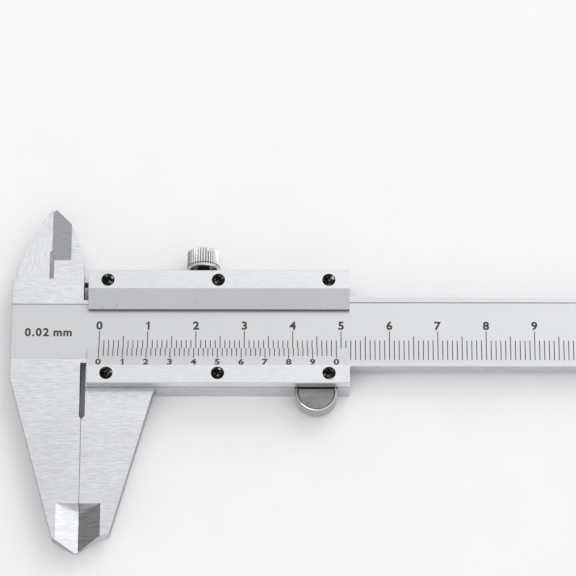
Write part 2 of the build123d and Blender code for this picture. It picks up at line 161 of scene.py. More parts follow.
# %% Helpers for materials
class Finish:
    """A material and the few node operations that the finishes share."""

    def __init__(self, name, metallic=1.0):
        self.material = bpy.data.materials.new(name)
        self.material.use_nodes = True
        self.tree = self.material.node_tree
        self.shader = self.tree.nodes["Principled BSDF"]
        self.shader.inputs["Metallic"].default_value = metallic
        coords = self.tree.nodes.new("ShaderNodeTexCoord")
        self.object_coords = coords.outputs["Object"]
        self.object_normal = coords.outputs["Normal"]

    def node(self, kind, **settings):
        made = self.tree.nodes.new(kind)
        for key, value in settings.items():
            setattr(made, key, value)
        return made

    def link(self, source, target):
        self.tree.links.new(source, target)

    def fill(self, sockets, values):
        """Set each socket to a number, or link it to another socket."""
        for socket, value in zip(sockets, values):
            if isinstance(value, (int, float)):
                socket.default_value = value
            else:
                self.link(value, socket)

    def math(self, operation, a, b=0.0):
        made = self.node("ShaderNodeMath", operation=operation)
        self.fill(made.inputs, (a, b))
        return made.outputs[0]

    def product(self, first, *others):
        for other in others:
            first = self.math("MULTIPLY", first, other)
        return first

    def inverse(self, value):
        """1 where value is 0, and 0 where it is 1."""
        return self.math("SUBTRACT", 1.0, value)

    def size(self, value):
        """The value without its sign."""
        return self.math("ABSOLUTE", value)

    def mix(self, factor, a, b):
        """Blend two numbers or sockets by a factor."""
        made = self.node("ShaderNodeMix", data_type="FLOAT")
        self.fill((made.inputs[0], made.inputs[2], made.inputs[3]), (factor, a, b))
        return made.outputs[0]

    def remap(self, value, low, high, from_low=0.3, from_high=0.7):
        """Stretch a range, at first the middle of a noise texture, to low and high."""
        made = self.node("ShaderNodeMapRange")
        names = ("Value", "From Min", "From Max", "To Min", "To Max")
        self.fill([made.inputs[name] for name in names], (value, from_low, from_high, low, high))
        return made.outputs["Result"]

    def above(self, value, limit, soft=0.02 * MM):
        """1 where value is above limit, with a narrow soft edge."""
        return self.remap(value, 0.0, 1.0, limit - soft, limit + soft)

    def between(self, value, low, high):
        return self.product(self.above(value, low), self.inverse(self.above(value, high)))

    def axis(self, vector, index):
        made = self.node("ShaderNodeSeparateXYZ")
        self.link(vector, made.inputs[0])
        return made.outputs[index]

    def place(self):
        """The three Object coordinates."""
        return [self.axis(self.object_coords, index) for index in range(3)]

    def facing(self, index):
        """How far the surface faces along one axis."""
        return self.axis(self.object_normal, index)

    def distance(self, a, b):
        """Length of a step with these two parts."""
        return self.math("SQRT", self.math("ADD", self.product(a, a), self.product(b, b)))

    def noise(self, scale, detail=3.0, roughness=0.5):
        """Noise with a different scale on each axis, in waves per metre."""
        mapping = self.node("ShaderNodeMapping")
        mapping.inputs["Scale"].default_value = scale
        self.link(self.object_coords, mapping.inputs["Vector"])
        texture = self.node("ShaderNodeTexNoise")
        texture.inputs["Scale"].default_value = 1.0
        texture.inputs["Detail"].default_value = detail
        texture.inputs["Roughness"].default_value = roughness
        self.link(mapping.outputs["Vector"], texture.inputs["Vector"])
        return texture.outputs["Fac"]

    def strokes(self, across):
        """Short strokes and long scratches. across says, axis by axis, which way they are fine."""
        short = [STROKE_ACROSS if fine else STROKE_ALONG for fine in across]
        long = [SCRATCH_ACROSS if fine else SCRATCH_ALONG for fine in across]
        return self.mix(0.4, self.noise(short, 2.0, 0.5), self.noise(long, 3.0, 0.6))

    def grain_along_x(self):
        """Grain along X, on the flats and slopes and on the walls that face Y."""
        wall = self.above(self.size(self.facing(1)), 0.6, 0.1)
        return self.mix(wall, self.strokes((False, True, False)), self.strokes((False, True, True)))

    def grain_along_y(self):
        """Grain along Y, for the faces that were ground the other way."""
        return self.strokes((True, False, False))

    def grey(self, value, tint=(1.0, 1.0, 1.0)):
        """Turn a number into a colour with a slight tint and make it the base colour."""
        made = self.node("ShaderNodeCombineColor")
        self.fill(made.inputs, [self.product(value, part) for part in tint])
        self.link(made.outputs["Color"], self.shader.inputs["Base Color"])

    def bump(self, height, distance, strength=1.0):
        made = self.node("ShaderNodeBump")
        made.inputs["Strength"].default_value = strength
        made.inputs["Distance"].default_value = distance
        self.link(height, made.inputs["Height"])
        self.link(made.outputs["Normal"], self.shader.inputs["Normal"])


# %% [markdown]
# ## Ground steel
# The beam and the slider are ground on a surface grinder, which leaves fine strokes along X
# and a soft shine. The scale band is etched satin, which takes glare off the marks. Walls are
# painted a little darker than the flats, and ends that face X much darker, as painted shade;
# ends that face -X also take a coarser grain. The jaws grow a little darker towards their tips.
# Each of these is a place, made from coordinates and from the way the surface faces, with its own brightness.

# %% Brightness and roughness of each kind of surface
STEEL = 0.86
STEEL_ROUGH = (0.26, 0.40)
STROKE_DARK, STROKE_BRIGHT = 0.76, 1.18
# The jaws grow a little darker towards their tips, down to this share.
JAW_TIP_TONE = 0.90
# Painted shade: walls, and ends that face X, are darkened to these shares of the flats' brightness.
WALL_PAINTED_SHADE = 0.78
END_PAINTED_SHADE = 0.5
POLISHED_SHARE, POLISHED_ROUGH = 0.92, 0.2
SATIN_LOW, SATIN_HIGH, SATIN_ROUGH = 0.68, 0.73, 0.46
# Darkness of the dirt in joints and pits, and of the painted shade in gaps and recesses.
DIRT_AND_SHADE = 0.07
print("satin band brightness:", SATIN_LOW, "to", SATIN_HIGH)


# %% The satin band, and the painted shade of the walls and ends
def satin_band(finish):
    """The floor of the shallow band that carries the scale."""
    _, y, z = finish.place()
    up = finish.above(finish.facing(2), 0.7, 0.1)
    low = finish.inverse(finish.above(z, beam_front - band_depth / 2))
    return finish.product(up, low, finish.between(y, 0.5 * MM, beam_width - 0.8 * MM))


def shaded(finish, value, grain):
    """The brightness of the flats, a little lower towards the jaw tips, with painted shade on the walls and
    the ends.
    """
    value = finish.product(value, finish.remap(finish.place()[1], JAW_TIP_TONE, 1.0, -38 * MM, 5 * MM))
    # Painted shade: walls darker than the flats, and ends that face X darker still.
    wall = finish.inverse(finish.above(finish.size(finish.facing(2)), 0.4, 0.1))
    value = finish.mix(wall, value, finish.product(value, WALL_PAINTED_SHADE))
    end = finish.above(finish.size(finish.facing(0)), 0.52, 0.04)
    value = finish.mix(end, value, finish.product(value, END_PAINTED_SHADE))
    coarse = finish.above(finish.product(finish.facing(0), -1.0), 0.3, 0.05)
    return finish.mix(coarse, value, finish.product(value, finish.remap(grain, 0.70, 1.2)))


# %% The finish itself
def ground_steel(name, brightness=STEEL, rough=STEEL_ROUGH, cross=None, band=False, polish=None, dark=()):
    """Surface-ground steel. The functions give places: turned grain, polish, and darker places, which are
    dark joints and painted shade.
    """
    finish = Finish(name)
    cloud = finish.noise((90.0, 110.0, 90.0), 2.0)
    grain = finish.grain_along_x()
    if cross is not None:
        grain = finish.mix(cross(finish), grain, finish.grain_along_y())
    value = finish.product(
        finish.remap(grain, brightness * STROKE_DARK, brightness * STROKE_BRIGHT),
        finish.remap(cloud, 0.965, 1.02))
    value = shaded(finish, value, grain)
    roughness = finish.remap(grain, rough[1], rough[0])
    height = grain
    if band:
        satin = satin_band(finish)
        grit = finish.noise((GRIT, GRIT, GRIT), 2.0, 0.7)
        value = finish.mix(satin, value, finish.remap(grit, SATIN_LOW, SATIN_HIGH))
        roughness = finish.mix(satin, roughness, SATIN_ROUGH)
        height = finish.mix(satin, height, grit)
    if polish is not None:
        shine = polish(finish)
        value = finish.mix(shine, value, brightness * POLISHED_SHARE)
        roughness = finish.mix(shine, roughness, POLISHED_ROUGH)
    # Dark places: dark joints, and painted shade in gaps and recesses.
    for place in dark:
        value = finish.mix(place(finish), value, DIRT_AND_SHADE)
    finish.grey(value, COOL)
    finish.link(roughness, finish.shader.inputs["Roughness"])
    finish.bump(height, 0.012 * MM, 0.5)
    return finish.material


# %% [markdown]
# ## Places where the finish changes
# Narrow corners are painted dark as shade: the gap at the root of the jaws, the low walls beside
# the scale band, the notch beside the head and the root of the movable jaw. The line where the
# jaws meet and the seams of the strips are dark joints. Each place is a function that returns 1
# inside it, so a steel can take any number of them, and nothing has to be painted by hand.


# %% Turned grain and polished borders
def beam_borders(finish):
    """The beam's two narrow borders, beside the scale band, past the head."""
    x, _, z = finish.place()
    return finish.product(finish.above(x, 1.5 * MM), finish.above(z, band_front + band_depth / 2))


def inside_fin(finish):
    """The slider's inside jaw, left of the contact plane and above the beam."""
    x, y, _ = finish.place()
    return finish.product(finish.inverse(finish.above(x, 0.5 * MM)), finish.above(y, beam_width))


# %% Painted shade in the gap at the jaws, and the dark joint between them
GAP_ACROSS, GAP_ALONG = (-0.7 * MM, 0.95 * MM), (-12.2 * MM, 1.2 * MM)
JOINT_ALONG = (-45 * MM, -11 * MM)
NOTCH_ACROSS, NOTCH_DEPTH = (-0.3 * MM, 1.15 * MM), 1.0 * MM


def facing_x(finish):
    return finish.above(finish.size(finish.facing(0)), 0.6, 0.1)


def facing_y(finish):
    return finish.above(finish.size(finish.facing(1)), 0.5, 0.1)


def jaw_gap(finish):
    """Painted shade on the walls of the relief gap at the root of the jaws."""
    x, y, _ = finish.place()
    near = finish.product(finish.between(x, *GAP_ACROSS), finish.between(y, *GAP_ALONG))
    return finish.product(facing_x(finish), near)


def jaw_joint(finish):
    """A dark hairline of dirt where the two jaws meet."""
    x, y, _ = finish.place()
    line = finish.inverse(finish.above(finish.size(x), 0.08 * MM, 0.03 * MM))
    return finish.product(line, 0.6, finish.between(y, *JOINT_ALONG))


def head_notch(finish):
    """Painted shade in the deep notch between the head and the slider."""
    x, y, z = finish.place()
    near = finish.product(finish.between(x, *NOTCH_ACROSS), finish.above(y, beam_width - 1.2 * MM))
    deep = finish.inverse(finish.above(z, beam_front - NOTCH_DEPTH))
    return finish.product(near, finish.math("MAXIMUM", facing_x(finish), deep))


# %% Painted shade beside the band and at the jaw's root, and the strips' seams
# Width of the band of painted shade at the root of the movable jaw.
ROOT_SHADE_WIDTH = 0.9 * MM


def band_walls(finish):
    """Painted shade on the low walls beside the scale band."""
    _, y, z = finish.place()
    inside = finish.between(y, 0.5 * MM, beam_width - 0.5 * MM)
    return finish.product(facing_y(finish), inside, finish.above(z, band_front - 0.02 * MM))


def strip_seam(finish):
    """The joint line between a strip and the slider's side."""
    away = finish.size(finish.math("SUBTRACT", finish.place()[2], strip_low.z))
    return finish.product(facing_y(finish), finish.inverse(finish.above(away, 0.12 * MM, 0.03 * MM)))


def root_groove(finish):
    """Painted shade at the root of the movable jaw: a darker band on its upward faces below the strip, with a
    darker line at the band's lower edge.
    """
    y = finish.place()[1]
    low = strip_low.y - ROOT_SHADE_WIDTH
    floor = finish.product(finish.between(y, low, strip_low.y), 0.27)
    edge = finish.product(finish.between(y, low - 0.08 * MM, low + 0.15 * MM), 0.5)
    return finish.product(finish.math("MAXIMUM", floor, edge), finish.above(finish.facing(2), 0.3, 0.1))


# %% The three ground steels
beam_steel = ground_steel(
    "beam_steel", band=True, polish=beam_borders, dark=(jaw_gap, jaw_joint, band_walls, head_notch))
slider_steel = ground_steel(
    "slider_steel", cross=inside_fin, dark=(jaw_gap, jaw_joint, head_notch, strip_seam, root_groove))
rod_steel = ground_steel("rod_steel", 0.70, (0.3, 0.45))
print("nodes in beam_steel:", len(beam_steel.node_tree.nodes))

# %% [markdown]
# ## Brass, turned steel and black screws
# The gib is rolled brass, and the hidden screws are plain turned steel: one colour with a
# faint grain is enough. The strip screws are blackened with hot oxide, which is nearly a
# mirror, so a very low brightness with a low roughness gives their sharp, dark gloss. Small
# spots are lighter grey: rubbed-through wear that also serves as painted glints.


# %% Plain metals
def simple_metal(name, colour, rough, grain_scale):
    """Turned or rolled metal: one colour, with a faint grain in roughness and height."""
    finish = Finish(name)
    grain = finish.noise(grain_scale, 3.0, 0.6)
    blotch = finish.noise((400.0, 400.0, 400.0), 2.0)
    finish.grey(finish.product(finish.remap(grain, 0.92, 1.05), finish.remap(blotch, 0.95, 1.03)), colour)
    finish.link(finish.remap(grain, rough * 1.25, rough * 0.8), finish.shader.inputs["Roughness"])
    finish.bump(grain, 0.004 * MM, 0.4)
    return finish.material


def worn_black(name):
    """Glossy black oxide with small grey spots: rubbed-through wear that also serves as painted glints."""
    finish = Finish(name)
    grain = finish.noise((3000.0, 3000.0, 3000.0), 3.0, 0.6)
    spots = finish.noise((1150.0, 1150.0, 1150.0), 1.0, 0.4)
    # Painted glints: small grey spots, partly real rubbed-through wear.
    rubbed_spots_and_glints = finish.remap(spots, 0.0, 1.0, 0.56, 0.66)
    finish.grey(finish.mix(rubbed_spots_and_glints, finish.remap(grain, 0.010, 0.018), 0.24), (1.0, 0.99, 0.96))
    finish.link(finish.remap(grain, 0.16, 0.10), finish.shader.inputs["Roughness"])
    finish.bump(grain, 0.004 * MM, 0.4)
    return finish.material


gib_brass = simple_metal("gib_brass", (0.72, 0.55, 0.29), 0.32, (200.0, 4000.0, 4000.0))
turned_steel = simple_metal("turned_steel", (0.52, 0.52, 0.53), 0.3, (2500.0, 2500.0, 2500.0))
black_oxide = worn_black("black_oxide")
print("plain metals:", gib_brass.name, turned_steel.name, black_oxide.name)

# %% [markdown]
# ## The two front strips
# A strip has a bright ground flat, where its screws sit, and a satin slope down to a thin edge
# beside the scale. The slope is found from the normal: it faces mostly up, but less than the
# flat. A few tiny pits show that the strips are used, and the thin edge under the upper strip is painted dark
# as shade.


# %% Ground flats with satin bevels
def strip_finish():
    """Bright ground flats, and smoother, darker satin where the face slopes."""
    finish = Finish("strip_steel")
    grain = finish.grain_along_x()
    cloud = finish.remap(finish.noise((70.0, 160.0, 70.0), 2.0), 0.97, 1.02)
    grit = finish.noise((GRIT, GRIT, GRIT), 2.0, 0.7)
    up = finish.facing(2)
    slope = finish.product(finish.above(up, 0.5, 0.1), finish.inverse(finish.above(up, 0.96, 0.02)))
    flat = finish.product(finish.remap(grain, 0.73, 0.90), cloud)
    satin = finish.product(finish.remap(grit, 0.63, 0.68), cloud)
    value = finish.mix(slope, flat, satin)
    pits = finish.remap(finish.noise((1700.0, 1700.0, 1700.0), 1.0, 0.4), 0.0, 0.7, 0.76, 0.79)
    # Painted shade: the thin edge face along the upper strip's lower side is darkened.
    thin_edge_shade = finish.product(
        finish.above(finish.size(finish.facing(1)), 0.6, 0.1),
        finish.between(finish.place()[1], upper_low.y - 0.3 * MM, upper_low.y + 0.3 * MM))
    for place in (pits, thin_edge_shade, strip_seam(finish)):
        value = finish.mix(place, value, DIRT_AND_SHADE)
    finish.grey(value, COOL)
    finish.link(finish.mix(slope, finish.remap(grain, 0.40, 0.27), 0.42), finish.shader.inputs["Roughness"])
    finish.bump(finish.mix(slope, grain, grit), 0.010 * MM, 0.5)
    return finish.material


strip_steel = strip_finish()
print("nodes in strip_steel:", len(strip_steel.node_tree.nodes))

# %% [markdown]
# ## Filler in the scales
# Graduations and numerals are engraved and filled with dark lacquer. It isn't a metal, and it
# is matt. The numerals are a little warmer than the fine marks.


# %% Dark filler in the engraved marks
def filler(name, colour):
    finish = Finish(name, 0.0)
    grit = finish.noise((6000.0, 6000.0, 6000.0), 2.0, 0.6)
    finish.grey(finish.remap(grit, 0.75, 1.25), colour)
    finish.shader.inputs["Roughness"].default_value = 0.55
    return finish.material


mark_filler = filler("mark_filler", (0.05, 0.05, 0.05))
numeral_filler = filler("numeral_filler", (0.045, 0.034, 0.026))
print("fillers:", mark_filler.name, numeral_filler.name)

# %% [markdown]
# ## Soft edges
# A machined edge is never perfectly sharp: it carries a tiny break that catches the light.
# Each large CAD piece is copied, cleaned up into whole faces, and given a very small bevel.
# Edges flatter than the angle limit stay as they are, so flat faces gain no extra lines.


# %% Copies of the large CAD pieces with broken edges
def broken_edges(node, material, width, angle):
    """Stand-in for a CAD node with the same shape and softly broken edges."""
    bm = bmesh.new()
    bm.from_mesh(nodes[node].data)
    bmesh.ops.remove_doubles(bm, verts=bm.verts, dist=1e-6)
    bmesh.ops.dissolve_limit(bm, angle_limit=math.radians(0.5), verts=bm.verts, edges=bm.edges)
    mesh = bpy.data.meshes.new(node + "_ground")
    bm.to_mesh(mesh)
    bm.free()
    if mesh.has_custom_normals:
        mesh.attributes.remove(mesh.attributes["custom_normal"])
    piece = new_object(node + "_ground", mesh)
    bevel = piece.modifiers.new("edge_break", "BEVEL")
    bevel.width = width
    bevel.segments = 2
    bevel.limit_method = "ANGLE"
    bevel.angle_limit = math.radians(angle)
    bevel.use_clamp_overlap = True
    bevel.harden_normals = True
    smooth_by_angle(mesh, angle)
    bake(piece)
    piece.data.materials.clear()
    piece.data.materials.append(material)
    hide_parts(node)
    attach(piece, nodes[node]["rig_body"])
    print(piece.name, len(piece.data.polygons), "faces")
    return piece


broken_edges("main_beam", beam_steel, 0.09 * MM, 12)
broken_edges("slider_body", slider_steel, 0.09 * MM, 20)
broken_edges("vernier_strip", strip_steel, 0.08 * MM, 20)
broken_edges("upper_strip", strip_steel, 0.08 * MM, 20)

# %% [markdown]
# ## Pieces that stay as the CAD model made them
# The rod, the gib and the hidden screws already have the right shape. They only need their
# finish, which is set on their own material slots.

# %% Finishes on the CAD pieces that stay as they are
kept_finishes = {
    "gib": gib_brass,
    "gib_screw_left": turned_steel,
    "gib_screw_right": turned_steel,
    "depth_rod": rod_steel,
    "depth_rod_screw_left": turned_steel,
    "depth_rod_screw_right": turned_steel,
    "tail_guide_plate": rod_steel,
    "tail_plate_screw_upper": turned_steel,
    "tail_plate_screw_lower": turned_steel,
}
for name, material in kept_finishes.items():
    nodes[name].data.materials.clear()
    nodes[name].data.materials.append(material)
print("pieces kept from the CAD model:", len(kept_finishes))

# %% [markdown]
# ## Scales
# The graduations repeat by a rule, so Geometry Nodes lays them out: a row of points, a length
# for each point from its number, and a thin bar on each. The main scale has a mark each
# millimetre, longer at 5 and 10. The vernier has 50 divisions over 49 mm, longer at each fifth.
# A real mark is engraved, but at this size a very thin bar of filler on the face looks the
# same and keeps the steel underneath one clean surface.


# %% A node tree that lays out graduations
def ruler_tree():
    """Graduations along X. Each mark starts at Y = 0 and grows along +Y."""
    tree = bpy.data.node_groups.new("graduations", "GeometryNodeTree")
    face = tree.interface
    face.new_socket("Geometry", in_out="OUTPUT", socket_type="NodeSocketGeometry")
    for name, kind in (
        ("Count", "NodeSocketInt"), ("Pitch", "NodeSocketFloat"), ("Width", "NodeSocketFloat"),
        ("Height", "NodeSocketFloat"), ("Short", "NodeSocketFloat"), ("Medium", "NodeSocketFloat"),
        ("Long", "NodeSocketFloat"), ("Medium every", "NodeSocketInt"), ("Long every", "NodeSocketInt"),
        ("Material", "NodeSocketMaterial"),
    ):
        face.new_socket(name, in_out="INPUT", socket_type=kind)
    new, link = tree.nodes.new, tree.links.new
    given = new("NodeGroupInput").outputs

    def combine(x, y, z):
        made = new("ShaderNodeCombineXYZ")
        for socket, source in zip(made.inputs, (x, y, z)):
            if source is not None:
                link(source, socket)
        return made.outputs[0]

    def number(operation, a, b):
        made = new("ShaderNodeMath")
        made.operation = operation
        for socket, value in zip(made.inputs, (a, b)):
            if isinstance(value, (int, float)):
                socket.default_value = value
            else:
                link(value, socket)
        return made.outputs[0]

    line = new("GeometryNodeMeshLine")
    link(given["Count"], line.inputs["Count"])
    link(combine(given["Pitch"], None, None), line.inputs["Offset"])
    index = new("GeometryNodeInputIndex").outputs[0]
    length = given["Short"]
    for every, longer in (("Medium every", "Medium"), ("Long every", "Long")):
        hit = number("COMPARE", number("MODULO", index, given[every]), 0.0)
        pick = new("GeometryNodeSwitch")
        pick.input_type = "FLOAT"
        link(hit, pick.inputs["Switch"])
        link(length, pick.inputs["False"])
        link(given[longer], pick.inputs["True"])
        length = pick.outputs[0]
    place = new("GeometryNodeSetPosition")
    link(line.outputs["Mesh"], place.inputs["Geometry"])
    link(combine(None, number("MULTIPLY", length, 0.5), None), place.inputs["Offset"])
    bar = new("GeometryNodeMeshCube")
    spread = new("GeometryNodeInstanceOnPoints")
    link(place.outputs["Geometry"], spread.inputs["Points"])
    link(bar.outputs["Mesh"], spread.inputs["Instance"])
    link(combine(given["Width"], length, given["Height"]), spread.inputs["Scale"])
    real = new("GeometryNodeRealizeInstances")
    link(spread.outputs["Instances"], real.inputs["Geometry"])
    paint = new("GeometryNodeSetMaterial")
    link(real.outputs["Geometry"], paint.inputs["Geometry"])
    link(given["Material"], paint.inputs["Material"])
    link(paint.outputs["Geometry"], new("NodeGroupOutput").inputs["Geometry"])
    return tree


graduations = ruler_tree()


def apply_tree(obj, tree, values):
    """Give an object a node tree with named inputs, then turn the result into a plain mesh."""
    modifier = obj.modifiers.new(tree.name, "NODES")
    modifier.node_group = tree
    for item in tree.interface.items_tree:
        if item.in_out == "INPUT" and item.name in values:
            modifier[item.identifier] = values[item.name]
    return bake(obj)


# %% Main scale on the beam
MARK_WIDTH = 0.19 * MM
MARK_HEIGHT = 0.02 * MM
ZERO_X = 3.35 * MM
main_start = 1.47 * MM

main_scale = apply_tree(
    new_object("main_scale_marks", bpy.data.meshes.new("main_scale_marks")), graduations,
    {
        "Count": 151, "Pitch": 1.0 * MM, "Width": MARK_WIDTH, "Height": MARK_HEIGHT,
        "Short": 4.31 * MM, "Medium": 5.23 * MM, "Long": 6.31 * MM,
        "Medium every": 5, "Long every": 10, "Material": mark_filler,
    },
)
main_scale.data.transform(Matrix.Translation((ZERO_X, main_start, band_front)))
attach(main_scale, "beam")
print("main scale marks:", len(main_scale.data.polygons) // 6)

# %% The vernier's sloping face
FLAT_WIDTH = 3.95 * MM
EDGE_THICKNESS = 0.3 * MM
bevel_top = Vector((0, strip_low.y + FLAT_WIDTH, strip_high.z))
bevel_edge = Vector((0, strip_high.y, strip_low.z + EDGE_THICKNESS))
slope = bevel_top - bevel_edge
slope_angle = math.atan2(slope.z, -slope.y)


def on_bevel(x, down):
    """Frame on the vernier's slope: X along the scale, Y uphill towards the thin edge, Z out of the face."""
    point = bevel_edge + slope.normalized() * down
    return Matrix.Translation((x, point.y, point.z)) @ Matrix.Rotation(-slope_angle, 4, "X")


print("slope of the vernier (degrees):", round(math.degrees(slope_angle), 1))

# %% Vernier scale
VERNIER_PITCH = 0.98 * MM
vernier_scale = apply_tree(
    new_object("vernier_marks", bpy.data.meshes.new("vernier_marks")), graduations,
    {
        "Count": 51, "Pitch": VERNIER_PITCH, "Width": MARK_WIDTH, "Height": MARK_HEIGHT,
        "Short": 2.3 * MM, "Medium": 2.9 * MM, "Long": 2.9 * MM,
        "Medium every": 5, "Long every": 10, "Material": mark_filler,
    },
)
vernier_scale.data.transform(on_bevel(ZERO_X, 0.05 * MM) @ Matrix.Scale(-1, 4, (0, 1, 0)))
vernier_scale.data.flip_normals()
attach(vernier_scale, "slider")
print("vernier marks:", len(vernier_scale.data.polygons) // 6)

# %% [markdown]
# ## Numerals
# The numbers are text curves. Each is measured, scaled to its real height and width, and
# moved onto its face, so that all the numbers of one scale become a single mesh. The "1" of
# an engraved scale is a slim stroke with a flag, unlike the font's, so it has its own outline.


# %% One character as a flat plate
BOLDER = 0.034
ONE = (
    (0.19, 0.0), (0.38, 0.0), (0.38, 1.0), (0.25, 1.0), (0.16, 0.88), (0.0, 0.80), (0.0, 0.63), (0.19, 0.73),
)


def plate(bm, outline):
    """A plate one unit thick with this outline, centred on Z = 0."""
    low = [bm.verts.new((x, y, -0.5)) for x, y in outline]
    high = [bm.verts.new((x, y, 0.5)) for x, y in outline]
    bm.faces.new(low[::-1])
    bm.faces.new(high)
    for i in range(len(outline)):
        j = (i + 1) % len(outline)
        bm.faces.new((low[i], low[j], high[j], high[i]))


def font_character(text):
    """A character from the built-in font, a little bolder, as mesh data in font units."""
    curve = bpy.data.curves.new("character", "FONT")
    curve.body = text
    curve.resolution_u = 3
    curve.extrude = 0.5
    curve.offset = BOLDER
    holder = new_object("character", curve)
    depsgraph = bpy.context.evaluated_depsgraph_get()
    mesh = bpy.data.meshes.new_from_object(holder.evaluated_get(depsgraph))
    bpy.data.objects.remove(holder)
    bpy.data.curves.remove(curve)
    return mesh


def span(mesh, axis):
    values = [v.co[axis] for v in mesh.vertices]
    return min(values), max(values)


nought = font_character("0")
nought_low, nought_high = span(nought, 1)
font_height = nought_high - nought_low


def character(text):
    """A character with digits one unit tall that starts at X = 0, and its width."""
    if text == "1":
        mesh = mesh_from(lambda bm: plate(bm, ONE), "one")
    else:
        mesh = font_character(text)
        one_tall = Matrix.Diagonal((1 / font_height, 1 / font_height, 1, 1))
        mesh.transform(one_tall @ Matrix.Translation((0, -nought_low, 0)))
    left, right = span(mesh, 0)
    mesh.transform(Matrix.Translation((-left, 0, 0)))
    return mesh, right - left


# %% Numbers of one scale as one mesh
CHARACTER_GAP = 0.14
WORD_GAP = 0.35


def numerals(name, entries, height, stretch, material):
    """entries are (text, matrix). Each text is height tall, centred, and stretched along X."""
    joined = bmesh.new()
    for text, matrix in entries:
        placed = []
        end = 0.0
        for letter in text:
            if letter == " ":
                end += WORD_GAP
                continue
            mesh, width = character(letter)
            placed.append((mesh, end))
            end += width + CHARACTER_GAP
        middle = (end - CHARACTER_GAP) / 2
        size = Matrix.Diagonal((height * stretch, height, MARK_HEIGHT, 1))
        for mesh, start in placed:
            mesh.transform(matrix @ size @ Matrix.Translation((start - middle, 0, 0)))
            joined.from_mesh(mesh)
            bpy.data.meshes.remove(mesh)
    bmesh.ops.recalc_face_normals(joined, faces=joined.faces)
    mesh = bpy.data.meshes.new(name)
    joined.to_mesh(mesh)
    joined.free()
    mesh.materials.clear()
    mesh.materials.append(material)
    return new_object(name, mesh)


# %% Numbers of the main scale
MAIN_NUMBER = 1.9 * MM
MAIN_NUMBER_UP = 8.1 * MM
main_numbers = []
for centimetre in range(16):
    place = Matrix.Translation((ZERO_X + centimetre * 10 * MM, MAIN_NUMBER_UP, band_front))
    main_numbers.append((str(centimetre), place))
numeral_piece = numerals("main_scale_numbers", main_numbers, MAIN_NUMBER, 1.06, numeral_filler)
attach(numeral_piece, "beam")

# %% Numbers of the vernier, and the reading step on the head
VERNIER_NUMBER = 1.75 * MM
VERNIER_NUMBER_DOWN = 4.92 * MM
vernier_numbers = []
for count in range(11):
    place = on_bevel(ZERO_X + count * 5 * VERNIER_PITCH, VERNIER_NUMBER_DOWN)
    vernier_numbers.append((str(count % 10), place))
vernier_piece = numerals("vernier_numbers", vernier_numbers, VERNIER_NUMBER, 1.02, numeral_filler)
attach(vernier_piece, "slider")

resolution_place = Matrix.Translation((-7.2 * MM, 6.6 * MM, band_front))
resolution = numerals("head_resolution", [("0.02 mm", resolution_place)], MAIN_NUMBER, 1.0, numeral_filler)
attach(resolution, "beam")
print("numbers:", len(main_numbers), "on the beam and", len(vernier_numbers), "on the vernier")

# %% [markdown]
# ## Screws
# The six strip screws are alike, so one detailed screw is modelled and Geometry Nodes sets it
# on a point for each screw. Its cross recess is cut by a Boolean with two tapered bars.


# %% One cross-recessed screw
def lathe(bm, profile, steps):
    """Spin a profile of (radius, height) points about Z into a closed solid."""
    rings = []
    for radius, height in profile:
        if radius == 0:
            rings.append([bm.verts.new((0, 0, height))])
            continue
        angles = [2 * math.pi * i / steps for i in range(steps)]
        rings.append([bm.verts.new((radius * math.cos(a), radius * math.sin(a), height)) for a in angles])
    for low, high in zip(rings, rings[1:]):
        for i in range(steps):
            j = (i + 1) % steps
            corners = [low[i % len(low)], low[j % len(low)], high[j % len(high)], high[i % len(high)]]
            unique = list(dict.fromkeys(corners))
            if len(unique) > 2:
                bm.faces.new(unique)


screw_nodes = [n for n in nodes if "strip_screw" in n]
screw_low, screw_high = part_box(screw_nodes[0])
HEAD_RADIUS = (screw_high.x - screw_low.x) / 2
HEAD_HEIGHT = 0.9 * MM
SHANK_RADIUS = 0.8 * MM
screw_length = screw_high.z - screw_low.z


def screw_profile():
    """Pan head with a rounded rim and a slightly domed top, on a plain shank."""
    rim = 0.3 * MM
    dome = 0.12 * MM
    points = [(0, -screw_length), (SHANK_RADIUS, -screw_length), (SHANK_RADIUS, -HEAD_HEIGHT),
              (HEAD_RADIUS, -HEAD_HEIGHT)]
    for i in range(7):
        angle = i * math.pi / 12
        points.append((HEAD_RADIUS - rim * (1 - math.cos(angle)), -rim - dome + rim * math.sin(angle)))
    for i in range(1, 5):
        share = i / 5
        points.append(((HEAD_RADIUS - rim) * (1 - share), -dome * (1 - share) ** 2))
    points.append((0, 0))
    return points


def tapered_bar(bm, length, width, depth):
    """Bar of the cross recess: full size at the top, narrower at its floor."""
    shrink = 0.62
    corners = [(x * length / 2, y * width / 2) for x, y in ((-1, -1), (1, -1), (1, 1), (-1, 1))]
    low = [(x * shrink, y * shrink, -depth) for x, y in corners]
    high = [(x, y, 0.2 * MM) for x, y in corners]
    a = [bm.verts.new(p) for p in low]
    b = [bm.verts.new(p) for p in high]
    bm.faces.new(a[::-1])
    bm.faces.new(b)
    for i in range(4):
        j = (i + 1) % 4
        bm.faces.new((a[i], a[j], b[j], b[i]))


# %% Cut the cross recess
RECESS_LENGTH = 1.75 * MM
RECESS_WIDTH = 0.5 * MM
RECESS_DEPTH = 0.55 * MM
screw_mesh = mesh_from(lambda bm: lathe(bm, screw_profile(), 40), "strip_screw")
screw = new_object("strip_screw", screw_mesh)
for name, size in (("bar_one", (RECESS_LENGTH, RECESS_WIDTH)), ("bar_two", (RECESS_WIDTH, RECESS_LENGTH))):
    cutter = new_object(name, mesh_from(lambda bm: tapered_bar(bm, *size, RECESS_DEPTH), name))
    cut = screw.modifiers.new(name, "BOOLEAN")
    cut.object = cutter
    cut.operation = "DIFFERENCE"
    cut.solver = "EXACT"
bake(screw)
for name in ("bar_one", "bar_two"):
    bpy.data.objects.remove(bpy.data.objects[name])
smooth_by_angle(screw.data, 32)
screw.data.materials.append(black_oxide)
print("one screw:", len(screw.data.polygons), "faces")


